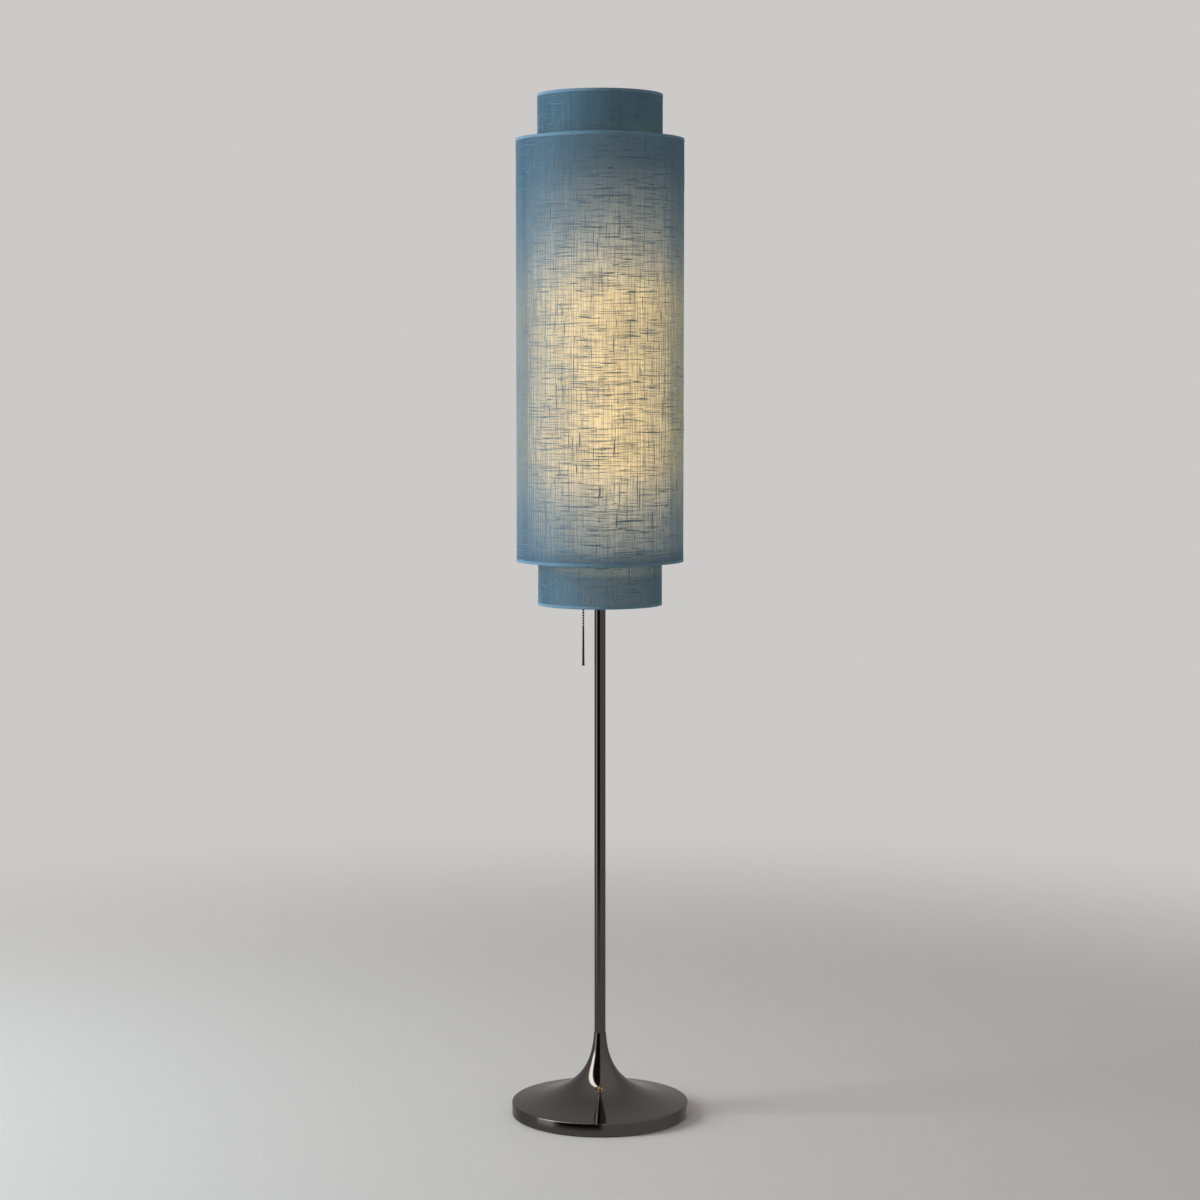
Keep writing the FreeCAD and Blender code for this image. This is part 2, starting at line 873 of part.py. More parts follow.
parts = {
    "base_cover": base_cover(),
    "base_weight": base_weight(),
    "foot_pad": foot_pad(),
    "base_nipple": base_nipple(),
    "base_washer": base_washer(),
    "base_nut": base_nut(),
    "cord_bushing": cord_bushing(),
    "pole_tube": pole_tube(),
    "pole_foot_insert": pole_foot_insert(),
    "pole_top_insert": pole_top_insert(),
    "stem_tube": stem_tube(),
    "stem_nuts": stem_nuts(),
    "inner_leads": inner_leads(),
    "switch_cup": switch_cup(),
    "cup_lid": cup_lid(),
    "switch_body": switch_body(),
    "drum_pin": drum_pin(),
    "pull_drum": pull_drum(),
    "return_spring": return_spring(),
    "chain_outlet": chain_outlet(),
    "chain_top": chain_top(),
    "chain_upper": chain_upper(),
    "chain_lower": chain_lower(),
    "pull_bar": pull_bar(),
    "middle_drum_linen": drum_fabric(middle_drum_diameter, step_low, step_high),
    "middle_drum_lining": drum_lining(middle_drum_diameter, step_low, step_high),
    "upper_drum_linen": drum_fabric(small_drum_diameter, step_high, overall_height),
    "upper_drum_lining": drum_lining(small_drum_diameter, step_high, overall_height),
    "lower_drum_linen": drum_fabric(small_drum_diameter, shade_foot, step_low),
    "lower_drum_lining": drum_lining(small_drum_diameter, shade_foot, step_low),
    "upper_frame": upper_frame(),
    "lower_frame": lower_frame(),
    "lower_rim_ring": lower_rim_ring(),
    "top_spider": top_spider(),
    "seat_nut": seat_nut(),
    "seat_washer": seat_washer(),
    "retaining_nut": retaining_nut(),
}
parts.update(lamp_parts("lower", lower_arm_height, 1))
parts.update(lamp_parts("upper", upper_arm_height, -1))

os.makedirs("parts", exist_ok=True)
for node, shape in parts.items():
    shape.exportStep("parts/" + node + ".step")
    print(node, shape.isValid(), len(shape.Solids), round(shape.Volume, 1))
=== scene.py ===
import json
import math

import bpy
import numpy as np
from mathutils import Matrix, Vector


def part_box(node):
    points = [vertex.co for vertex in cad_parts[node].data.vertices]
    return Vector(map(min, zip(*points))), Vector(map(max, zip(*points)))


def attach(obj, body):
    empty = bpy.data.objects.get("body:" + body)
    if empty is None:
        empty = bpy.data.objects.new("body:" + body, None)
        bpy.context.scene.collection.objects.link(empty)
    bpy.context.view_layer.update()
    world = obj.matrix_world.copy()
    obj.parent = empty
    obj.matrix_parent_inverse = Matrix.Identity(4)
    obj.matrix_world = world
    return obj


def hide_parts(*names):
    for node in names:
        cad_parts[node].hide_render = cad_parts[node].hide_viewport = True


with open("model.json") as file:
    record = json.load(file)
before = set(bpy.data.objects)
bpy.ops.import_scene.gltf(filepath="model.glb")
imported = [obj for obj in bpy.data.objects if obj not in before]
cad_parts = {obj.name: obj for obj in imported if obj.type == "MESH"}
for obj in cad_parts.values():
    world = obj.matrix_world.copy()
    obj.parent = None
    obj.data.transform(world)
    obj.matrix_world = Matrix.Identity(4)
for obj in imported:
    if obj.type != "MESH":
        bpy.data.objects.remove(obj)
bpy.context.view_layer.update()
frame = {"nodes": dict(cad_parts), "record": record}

bl_info = {
    "name": "Column floor lamp",
    "version": (1, 0, 0),
    "blender": (4, 5, 0),
    "location": "3D View > Sidebar > Lamp",
    "description": "Finishes, woven linen and light for a column floor lamp",
    "category": "Object",
}

MM = 0.001
FULL_TURN = 2 * math.pi
ON_AXIS = 1e-9

# The viewpoint: distance, height and downward tilt found from the lamp's outlines.
IMAGE_SIZE = 1200
FOCAL_PIXELS = 2621
CAMERA_DISTANCE = 3.834
CAMERA_HEIGHT = 1.081
CAMERA_TILT = math.radians(4.677)
SENSOR_WIDTH = 36.0

# The softbox on the left, the tint of the even light, and the floor, which is plain up
# to one distance from the lamp and has faded away at the other.
KEY_PLACE = (-2.95, -0.55, 1.55)
KEY_TARGET = (0, 0, 0.85)
KEY_WIDTH, KEY_HEIGHT = 1.15, 2.3
KEY_TINT = (0.92, 1.0, 1.07)
EVEN_TINT = (1.0, 0.95, 0.91)
FLOOR_REACH = 4.0
FLOOR_PLAIN, FLOOR_FADED = 0.9, 2.6

# Outputs of the Texture Coordinate node.
GENERATED, OBJECT = 0, 3

# The bulbs: the globe, the neck, how far the pear's join lies under the globe's middle,
# and how far above it the lower bulb lights the cloth most.
GLOBE_RADIUS = 30.0 * MM
NECK_RADIUS = 14.5 * MM
JOIN_DROP = 12.2 * MM
LOWER_GLOW_RISE = 10.0 * MM

# The bead chain.
BEAD_RADIUS = 1.6 * MM
BEAD_PITCH = 4.0 * MM
LINK_RADIUS = 0.45 * MM

# The drums: the cloth's wall and steps round, how far the threads stop short of its ends,
# its rolled hems and the seam down its back.
CLOTH_WALL = 0.8 * MM
DRUM_SEGMENTS = 192
THREAD_INSET = 0.3 * MM
HEM_INSET, HEM_BULGE = 0.35 * MM, 0.75 * MM
SEAM_WIDTH, SEAM_RISE = 11 * MM, 0.5 * MM

# Upright slubs for each lying one, and the seeds of what lies by chance on the cloth.
UPRIGHT_SHARE = 0.28
THREAD_SEED, LYING_SEED, UPRIGHT_SEED = 11, 31, 41

# Unevenness of the linen, in changes a metre: along a yarn, across lying and upright
# yarns, in the fine grain round and up the drum, and in soft clouds.
ALONG_YARN = 24.0
ACROSS_LYING, ACROSS_UPRIGHT = 640.0, 560.0
GRAIN_ROUND, GRAIN_UP = 700.0, 900.0
CLOUDS = 16.0
RIB_PITCH, RIB_RELIEF = 1.1 * MM, 0.18 * MM


# ------------------------------------------------------------------ properties


class LampLinenSettings(bpy.types.PropertyGroup):
    """The cloth of the shade"""

    colour: bpy.props.FloatVectorProperty(
        name="Linen", description="Colour of the linen's threads",
        subtype="COLOR", size=3, min=0, max=1, default=(0.146, 0.265, 0.356))
    glow_near: bpy.props.FloatVectorProperty(
        name="Glow by the bulbs", description="Colour of the cloth lit from close by",
        subtype="COLOR", size=3, min=0, max=1, default=(1.0, 0.70, 0.30))
    glow_far: bpy.props.FloatVectorProperty(
        name="Glow far away", description="Colour of the cloth lit from far away",
        subtype="COLOR", size=3, min=0, max=1, default=(1.0, 0.92, 0.72))
    glow: bpy.props.FloatProperty(
        name="Glow", description="Brightness of the lit cloth between the threads",
        min=0, max=5, default=1.06)
    pitch: bpy.props.FloatProperty(
        name="Thread pitch", description="Spacing of the upright threads",
        unit="LENGTH", min=0.0005, max=0.01, default=1.5 * MM)
    thread_width: bpy.props.FloatProperty(
        name="Thread width", description="Width of an upright thread",
        unit="LENGTH", min=0.0001, max=0.01, default=0.64 * MM)
    relief: bpy.props.FloatProperty(
        name="Relief", description="How far the upright threads stand out",
        unit="LENGTH", min=0.0001, max=0.01, default=0.55 * MM)
    slub_density: bpy.props.FloatProperty(
        name="Slubs", description="Thick lying yarns for each square metre of cloth",
        min=0, max=20000, default=7000)
    hem: bpy.props.FloatProperty(
        name="Hem", description="Height of the rolled edge of each drum",
        unit="LENGTH", min=0.001, max=0.03, default=4.4 * MM)


class LampMetalSettings(bpy.types.PropertyGroup):
    """The plated metal"""

    nickel: bpy.props.FloatVectorProperty(
        name="Black nickel", description="Colour of the black nickel plating",
        subtype="COLOR", size=3, min=0, max=1, default=(0.118, 0.108, 0.105))
    polish: bpy.props.FloatProperty(
        name="Roughness", description="Roughness of the polished plating",
        min=0, max=1, default=0.05)


class LampStageSettings(bpy.types.PropertyGroup):
    """The stage's light"""

    key: bpy.props.FloatProperty(
        name="Key light", description="Power of the softbox on the left",
        unit="POWER", min=0, max=1000, default=104.0)
    fill: bpy.props.FloatProperty(
        name="Fill", description="Strength of the even light from all round",
        min=0, max=10, default=0.36)
    backdrop: bpy.props.FloatVectorProperty(
        name="Backdrop", description="Colour of the floor and the background",
        subtype="COLOR", size=3, min=0, max=1, default=(0.60, 0.59, 0.575))
    bulb: bpy.props.FloatProperty(
        name="Bulbs", description="Brightness of the two bulbs",
        min=0, max=100, default=9.0)


def settings(context, name):
    """The scene's group of settings of that name."""
    return getattr(context.scene, name)


# ---------------------------------------------------------------- shader graphs


class Wire:
    """A shader socket that takes part in Python arithmetic."""

    def __init__(self, graph, socket):
        self.graph = graph
        self.socket = socket

    def math(self, operation, *others):
        """A Math node on this socket and the others."""
        return self.graph.add("ShaderNodeMath", {"operation": operation}, self, *others)

    def __add__(self, other):
        return self.math("ADD", other)

    def __sub__(self, other):
        return self.math("SUBTRACT", other)

    def __mul__(self, other):
        return self.math("MULTIPLY", other)

    def __truediv__(self, other):
        return self.math("DIVIDE", other)

    def __pow__(self, other):
        return self.math("POWER", other)

    def __rsub__(self, other):
        return self.graph.add("ShaderNodeMath", {"operation": "SUBTRACT"}, other, self)

    def __rtruediv__(self, other):
        return self.graph.add("ShaderNodeMath", {"operation": "DIVIDE"}, other, self)

    __radd__ = __add__
    __rmul__ = __mul__


class Graph:
    """A node tree, filled through one method."""

    def __init__(self, tree):
        self.tree = tree
        tree.nodes.clear()

    def add(self, kind, setup=None, *values, out=0, **sockets):
        """Adds a node. Its settings are set first. Values fill its sockets in order,
        or by name with _ for a space. Returns one of its outputs."""
        node = self.tree.nodes.new(kind)
        for key, value in (setup or {}).items():
            setattr(node, key, value)
        named = [(name.replace("_", " "), value) for name, value in sockets.items()]
        for place, value in [*enumerate(values), *named]:
            if isinstance(value, Wire):
                self.tree.links.new(value.socket, node.inputs[place])
            else:
                node.inputs[place].default_value = value
        return Wire(self, node.outputs[out]) if len(node.outputs) else node

    def split(self, vector, axis):
        """One part of a vector: axis is 0, 1 or 2."""
        return self.add("ShaderNodeSeparateXYZ", None, vector, out=axis)

    def place(self, x, y, z=0.0):
        """A vector from its three parts."""
        return self.add("ShaderNodeCombineXYZ", None, x, y, z)

    def noise(self, vector, scale, detail=2.0, roughness=0.5):
        """Soft noise from 0 to 1, with about scale changes to a unit of the vector."""
        return self.add("ShaderNodeTexNoise", None, Vector=vector, Scale=scale,
                        Detail=detail, Roughness=roughness)

    def blend(self, factor, first, second):
        """A mix of two colours."""
        node = self.tree.nodes.new("ShaderNodeMix")
        node.data_type = "RGBA"
        for name, value in (("Factor_Float", factor), ("A_Color", first), ("B_Color", second)):
            socket = next(s for s in node.inputs if s.identifier == name)
            if isinstance(value, Wire):
                self.tree.links.new(value.socket, socket)
            else:
                socket.default_value = value
        result = next(s for s in node.outputs if s.identifier == "Result_Color")
        return Wire(self, result)

    def tint(self, colour, amount):
        """A colour times a number."""
        colour = colour if isinstance(colour, Wire) else colour[:3]
        return self.add("ShaderNodeVectorMath", {"operation": "SCALE"}, colour, Scale=amount)

    def ramp(self, value, low, high):
        """0 below low and 1 above high, with a smooth step between."""
        return self.add("ShaderNodeMapRange", {"interpolation_type": "SMOOTHSTEP"},
                        value, low, high)

    def band(self, value, rise, fall):
        """1 between two smooth steps: up over rise and down again over fall."""
        return self.ramp(value, *rise) * (1.0 - self.ramp(value, *fall))


def rgba(colour):
    """A colour with full alpha."""
    return (*colour[:3], 1.0)


def finish_material(name, build, **uniform):
    """A Principled material. Uniform values are set on its own sockets, and build
    returns what varies over the surface."""
    material = bpy.data.materials.new(name)
    material.use_nodes = True
    graph = Graph(material.node_tree)
    shader = graph.add("ShaderNodeBsdfPrincipled", None, **uniform)
    for socket, value in build(graph).items():
        graph.tree.links.new(value.socket, shader.socket.node.inputs[socket])
    graph.add("ShaderNodeOutputMaterial", None, shader)
    return material


# ------------------------------------------------------------------- materials


def bump(graph, height, distance, strength=1.0):
    """A normal for a relief of that height, where 1 stands for the distance."""
    return graph.add("ShaderNodeBump", None, Strength=strength, Distance=distance,
                     Height=height)


def object_place(graph):
    """The place on the piece, in metres."""
    return graph.add("ShaderNodeTexCoord", out=OBJECT)


def cloth_place(graph):
    """Distance round the drum and height, in metres, from the piece's own map."""
    where = graph.add("ShaderNodeUVMap", {"uv_map": "cloth"})
    return graph.split(where, 0), graph.split(where, 1)


def bulb_heights():
    """Heights at which the two bulbs light the cloth most: the globes' middles, the
    lower one raised a little to match the photograph's glow."""
    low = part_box("lower_bulb_glass")[1].z - GLOBE_RADIUS + LOWER_GLOW_RISE
    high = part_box("upper_bulb_glass")[1].z - GLOBE_RADIUS
    return low, high


def lit_share(graph, height, radius):
    """Light that reaches the cloth, from 0 to 1: the sum over the bulbs of
    (R*R / (R*R + dz*dz)) to the power of 1.5, for a drum of radius R and a height dz
    from the bulb, less what is lost, as a share of the brightest less what is lost."""
    total = None
    for level in bulb_heights():
        away = height - level
        share = (radius**2 / (away * away + radius**2)) ** 1.5
        total = share if total is None else total + share
    lost = 0.09
    brightest = 1.08
    return ((total - lost) / (brightest - lost)).math("MAXIMUM", 0.0).math("MINIMUM", 1.0)


def weave(graph, around, height):
    """Uneven yarn: long lying streaks, upright ones, a fine grain and soft clouds."""

    def streaks(round_rate, up_rate, detail, roughness=0.5):
        stretched = graph.place(around * round_rate, height * up_rate)
        return graph.noise(stretched, 1.0, detail, roughness)

    return (streaks(ALONG_YARN, ACROSS_LYING, 3.0, 0.65),
            streaks(ACROSS_UPRIGHT, ALONG_YARN, 3.0, 0.65),
            streaks(GRAIN_ROUND, GRAIN_UP, 1.0),
            streaks(CLOUDS, CLOUDS, 2.0))


def linen_material(name, linen, glow_share, glow, streaks, tone=1.0):
    """Blue linen. glow gives the light that comes through, as a function of the
    height, or None. glow_share is how much of it this piece lets through, streaks how
    far thick yarn stops it, and tone how light the yarn is."""

    def build(graph):
        around, height = cloth_place(graph)
        lying, upright, fine, cloud = weave(graph, around, height)
        shade = (0.55 + lying * 0.36 + upright * 0.26 + fine * 0.28) * tone
        colour = graph.tint(rgba(linen.colour), shade)
        ribs = (height * (FULL_TURN / RIB_PITCH)).math("SINE")
        surface = {"Base Color": colour}
        surface["Normal"] = bump(graph, ribs * 0.5 + lying + fine, RIB_RELIEF, 0.6)
        if glow is None:
            return surface
        light = glow(graph, height)
        open_weave = 1.0 - graph.ramp(lying, 0.50, 0.64) * streaks
        open_weave = open_weave * (1.0 - graph.ramp(upright, 0.53, 0.68) * streaks * 0.7)
        open_weave = open_weave * (0.36 + fine * 0.72 + cloud * 0.56)
        strength = light * open_weave * (glow_share * linen.glow)
        warmth = graph.blend(light, rgba(linen.glow_far), rgba(linen.glow_near))
        surface["Emission Color"] = graph.tint(warmth, strength)
        return surface

    lit = {} if glow is None else {"Emission_Strength": 1.0}
    return finish_material(name, build, Roughness=0.9, Sheen_Weight=0.35,
                           Sheen_Roughness=0.5, Sheen_Tint=(0.50, 0.68, 0.82, 1.0),
                           Specular_IOR_Level=0.2, **lit)


def nickel_material(name, metal, roughness, tone=1.0):
    """Black nickel over polished steel, with faint wiping marks. A tone under 1 darkens its
    colour, which paints shade into it.
    """

    def build(graph):
        where = object_place(graph)
        smear = graph.noise(where, 9.0, 4.0, 0.6)
        specks = graph.noise(where, 240.0, 2.0)
        return {
            "Base Color": graph.tint(rgba(metal.nickel), (0.94 + smear * 0.12) * tone),
            "Roughness": roughness + smear * 0.03 + graph.ramp(specks, 0.6, 0.8) * 0.05,
        }

    return finish_material(name, build, Metallic=1.0)


def grained_material(name, colour, roughness, grain, depth, **uniform):
    """A plain finish with a grain: colour and gloss waver, and the surface is bumpy."""

    def build(graph):
        where = object_place(graph)
        coarse = graph.noise(where, grain * 0.12, 3.0)
        fine = graph.noise(where, grain, 3.0, 0.6)
        return {
            "Base Color": graph.tint(rgba(colour), 0.86 + coarse * 0.18 + fine * 0.10),
            "Roughness": roughness - 0.05 + fine * 0.1,
            "Normal": bump(graph, fine, depth, 0.7),
        }

    return finish_material(name, build, **uniform)


def bulb_material(strength):
    """Opal glass that glows, dimmer over the first 30 mm above its cap."""
    fade, reach, end = 30.0 * MM, 100.0 * MM, 110.0 * MM

    def build(graph):
        where = object_place(graph)
        height = graph.split(where, 2)
        frost = graph.noise(where, 300.0, 2.0)
        shine = None
        for node in ("lower_bulb_glass", "upper_bulb_glass"):
            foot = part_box(node)[0].z
            inside = graph.band(height, (foot, foot + fade), (foot + reach, foot + end))
            shine = inside if shine is None else shine + inside
        power = (0.25 + shine * 0.75) * (0.9 + frost * 0.2)
        return {
            "Base Color": graph.tint((0.9, 0.88, 0.82, 1.0), 0.95 + frost * 0.05),
            "Emission Color": graph.tint((1.0, 0.74, 0.42, 1.0), power),
        }

    return finish_material("opal_bulb", build, Roughness=0.35, Emission_Strength=strength)


# ---------------------------------------------------------------------- meshes


def make_piece(name, points, quads, body, material, replaces=(), uv=None,
               sharp=35.0, triangles=None):
    """A mesh object from whole arrays. Faces are turned outwards if the signed
    volume, the sum of a.(b x c) / 6 over the triangles, is negative. Edges that turn
    by more than the angle sharp, in degrees, stay crisp."""
    points = np.asarray(points, float).reshape(-1, 3)
    quads = np.asarray(quads, int).reshape(-1, 4)
    fans = np.zeros((0, 3), int) if triangles is None else np.asarray(triangles, int)
    corners = np.concatenate([quads[:, [0, 1, 2]], quads[:, [0, 2, 3]], fans])
    a, b, c = (points[corners[:, k]] for k in range(3))
    if np.einsum("ij,ij->i", a, np.cross(b, c)).sum() < 0:
        quads, fans = quads[:, ::-1], fans[:, ::-1]
        uv = None if uv is None else uv[:, ::-1]
    mesh = bpy.data.meshes.new(name)
    mesh.from_pydata(points.tolist(), [], quads.tolist() + fans.tolist())
    if uv is not None:
        layer = mesh.uv_layers.new(name="cloth")
        layer.data.foreach_set("uv", np.ascontiguousarray(uv, float).ravel())
    mesh.shade_smooth()
    mesh.set_sharp_from_angle(angle=math.radians(sharp))
    mesh.update()
    piece = bpy.data.objects.new(name, mesh)
    bpy.context.scene.collection.objects.link(piece)
    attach(piece, body)
    if replaces:
        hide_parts(*replaces)
    mesh.materials.append(material)
    return piece


def turned(profile, segments, centre=(0.0, 0.0)):
    """Points and faces of a profile turned about an upright axis:
    P(i, a) = (cx + r_i cos a, cy + r_i sin a, z_i). A profile that starts and ends
    on the axis is closed by fans at its poles; any other is a closed loop."""
    profile = np.asarray(profile, float)
    solid = abs(profile[0, 0]) < ON_AXIS and abs(profile[-1, 0]) < ON_AXIS
    rings = profile[1:-1] if solid else profile
    angles = np.arange(segments) * FULL_TURN / segments
    r, z = rings[:, :1], rings[:, 1:]
    x = centre[0] + r * np.cos(angles)
    y = centre[1] + r * np.sin(angles)
    points = np.stack([x, y, z + 0 * x], axis=-1).reshape(-1, 3)
    count = len(rings)
    i = np.arange(count - 1 if solid else count)[:, None]
    j = np.arange(segments)[None, :]
    here, above = i * segments, ((i + 1) % count) * segments
    across = (j + 1) % segments
    quads = np.stack([here + j, here + across, above + across, above + j], axis=-1)
    quads = quads.reshape(-1, 4)
    if not solid:
        return points, quads, None
    poles = [(*centre, profile[0, 1]), (*centre, profile[-1, 1])]
    points = np.concatenate([points, poles])
    first, last = count * segments, count * segments + 1
    ring, after = j[0], across[0]
    top = (count - 1) * segments
    fans = np.concatenate([
        np.stack([first + 0 * ring, after, ring], axis=-1),
        np.stack([last + 0 * ring, top + ring, top + after], axis=-1),
    ])
    return points, quads, fans


def sleeve(radius_in, radius_out, low, high, segments):
    """A tube wall with a map of the distance round it and the height:
    the rectangle (r, z) turned about Z."""
    profile = [(radius_out, low), (radius_out, high), (radius_in, high), (radius_in, low)]
    points, quads, _ = turned(profile, segments)
    height = np.array([z for _, z in profile])
    step = FULL_TURN * radius_out / segments
    i = np.repeat(np.arange(4), segments)
    j = np.tile(np.arange(segments), 4)
    u = np.stack([j, j + 1, j + 1, j], axis=-1) * step
    v = np.stack([height[i], height[i], height[(i + 1) % 4], height[(i + 1) % 4]], axis=-1)
    return points, quads, np.stack([u, v], axis=-1)


def bundle(points):
    """Faces of many strands at once. points is [strand, ring, corner, xyz]: each ring
    is joined to the next round the strand, and both ends are capped."""
    strands, rings, corners = points.shape[:3]
    base = (np.arange(strands) * rings * corners)[:, None, None]
    i = np.arange(rings - 1)[None, :, None] * corners
    j = np.arange(corners)[None, None, :]
    across = (j + 1) % corners
    sides = np.stack([base + i + j, base + i + across,
                      base + i + corners + across, base + i + corners + j], axis=-1)
    start = base[:, 0] + np.arange(corners)[::-1]
    end = base[:, 0] + (rings - 1) * corners + np.arange(corners)
    return np.concatenate([sides.reshape(-1, 4), start, end])


def cloth_map(points, quads, radius):
    """The map of a strand on the drum: distance round it and height."""
    angle = np.arctan2(points[:, 1], points[:, 0]) % FULL_TURN
    u = (angle * radius)[quads]
    v = points[:, 2][quads]
    return np.stack([np.repeat(u[:, :1], 4, axis=1), v], axis=-1)


def polar(radius, angle, height):
    """Points (r cos a, r sin a, z)."""
    return np.stack([radius * np.cos(angle), radius * np.sin(angle), height + 0 * angle],
                    axis=-1)


def upright_threads(linen, radius, low, high, seed):
    """Upright threads round a drum. Across a thread the four corners stand at
    -0.5, -0.3, 0.3 and 0.5 of its width and at -0.1, 1, 1 and -0.1 of its relief. Up
    the thread w = 1 + 0.22 sin(f z + p) + 0.12 sin(2.7 f z + q) wavers; the width is
    times w, and the relief times 0.8 + 0.2 w."""
    random = np.random.default_rng(seed)
    count = round(FULL_TURN * radius / linen.pitch)
    ring_spacing = 17.0 * MM
    rings = max(3, round((high - low) / ring_spacing))
    height = np.linspace(low, high, rings)[None, :, None]
    middle = (np.arange(count) + random.uniform(-0.16, 0.16, count)) * FULL_TURN / count
    wave = random.uniform(25, 90, count)[:, None, None]
    phase = random.uniform(0, FULL_TURN, (2, count))[:, :, None, None]
    uneven = (1 + 0.22 * np.sin(wave * height + phase[0])
              + 0.12 * np.sin(2.7 * wave * height + phase[1]))
    width = linen.thread_width * random.uniform(0.8, 1.2, count)[:, None, None] * uneven
    across = np.array([-0.5, -0.3, 0.3, 0.5])
    rise = np.array([-0.1, 1.0, 1.0, -0.1]) * linen.relief
    angle = middle[:, None, None] + across * width / radius
    reach = radius + rise * (0.8 + 0.2 * uneven)
    points = polar(reach, angle, height)
    return points.reshape(-1, 3), bundle(points)


def slubs(linen, radius, low, high, seed, upright, density):
    """Thick places in the yarn that lie on the threads. A slub runs round the drum or
    up it, and its thickness falls towards its tips as (1 - s*s) to the power of 0.6,
    where s goes from -1 to 1 along it and 1 - s*s is never under 0.03."""
    random = np.random.default_rng(seed)
    count = round(FULL_TURN * radius * (high - low) * density)
    stations = np.linspace(-1, 1, 7)[None, :, None]
    # Most slubs are short and thin, and a few are long or thick.
    length = random.gamma(2.6, 8.0, count)[:, None, None] * MM + 6 * MM
    length = np.minimum(length, (high - low) / 3)
    thick = (0.16 + random.gamma(1.5, 0.13, count)[:, None, None]) * MM
    angle = random.uniform(0, FULL_TURN, count)[:, None, None]
    margin = length / 2 if upright else 1.5 * MM
    height = low + margin + random.uniform(0, 1, count)[:, None, None] * (high - low - 2 * margin)
    taper = np.maximum(1 - stations**2, 0.03) ** 0.6 * thick
    drift = 0.35 * MM * np.sin(stations * 2.2 + angle * 9)
    out = np.array([1.0, 0.0, -1.0, 0.0])
    side = np.array([0.0, 1.0, 0.0, -1.0])
    along = stations * length / 2
    rise = radius + 0.75 * linen.relief + 0.5 * out * taper
    if upright:
        points = polar(rise, angle + (side * taper + drift) / radius, height + along + 0 * rise)
    else:
        points = polar(rise, angle + along / radius + 0 * rise, height + side * taper + drift)
    return points.reshape(-1, 3), bundle(points)


def rolled_edge(radius, low, high, segments, bulge):
    """A soft rolled hem: a closed loop (r, z) = (rc + a |cos t|^0.6, zc + b |sin t|^0.6),
    with the signs of cos t and sin t, turned about Z."""
    t = np.linspace(0, FULL_TURN, 16, endpoint=False)
    soft = 0.6
    r = radius + bulge * np.sign(np.cos(t)) * np.abs(np.cos(t)) ** soft
    z = (low + high) / 2 + (high - low) / 2 * np.sign(np.sin(t)) * np.abs(np.sin(t)) ** soft
    return turned(np.stack([r, z], axis=-1), segments)


def lap_seam(radius, low, high, width, thickness):
    """The glued lap at the back of a drum: a thin bowed strip, square at its edges,
    P(i, j) = (r cos a_j, r sin a_j, z_i) on the cloth and again at its thickness."""
    rows, columns = 5, 9
    angle = FULL_TURN / 4 + np.linspace(-0.5, 0.5, columns) * width / radius
    angle = np.broadcast_to(angle, (rows, columns))
    height = np.linspace(low, high, rows)[:, None]
    inner, outer = (polar(np.full((rows, columns), reach), angle, height)
                    for reach in (radius, radius + thickness))
    loop = np.concatenate([outer, inner[:, ::-1]], axis=1)
    return loop.reshape(-1, 3), strip_faces(rows, 2 * columns)


def strip_faces(rings, corners):
    """Sides as in bundle, for one strand; the ends are closed by quads across it."""
    i = np.arange(rings - 1)[:, None] * corners
    j = np.arange(corners)[None, :]
    across = (j + 1) % corners
    sides = np.stack([i + j, i + across, i + corners + across, i + corners + j], axis=-1)
    k = np.arange(corners // 2 - 1)
    start = np.stack([k, corners - 1 - k, corners - 2 - k, k + 1], axis=-1)
    end = (rings - 1) * corners + start[:, ::-1]
    return np.concatenate([sides.reshape(-1, 4), start, end])


# ------------------------------------------------------------------- the shade


def middle_glow(graph, height):
    """The bulbs' light, which fades at both ends of the drum, and a faint even light."""
    low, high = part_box("middle_drum_linen")
    foot_fade, top_fade, faint = 30.0 * MM, 90.0 * MM, 0.03
    ends = graph.band(height, (low.z, low.z + foot_fade), (high.z - top_fade, high.z))
    return lit_share(graph, height, high.x) * ends + faint


def lower_glow(graph, height):
    """A faint even light, and a band of it just below the middle drum."""
    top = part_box("lower_drum_linen")[1].z
    band = graph.ramp(height, top - 20.0 * MM, top - 12.0 * MM) * 0.09
    return band + 0.05


GLOWS = {"middle_drum": middle_glow, "upper_drum": None, "lower_drum": lower_glow}


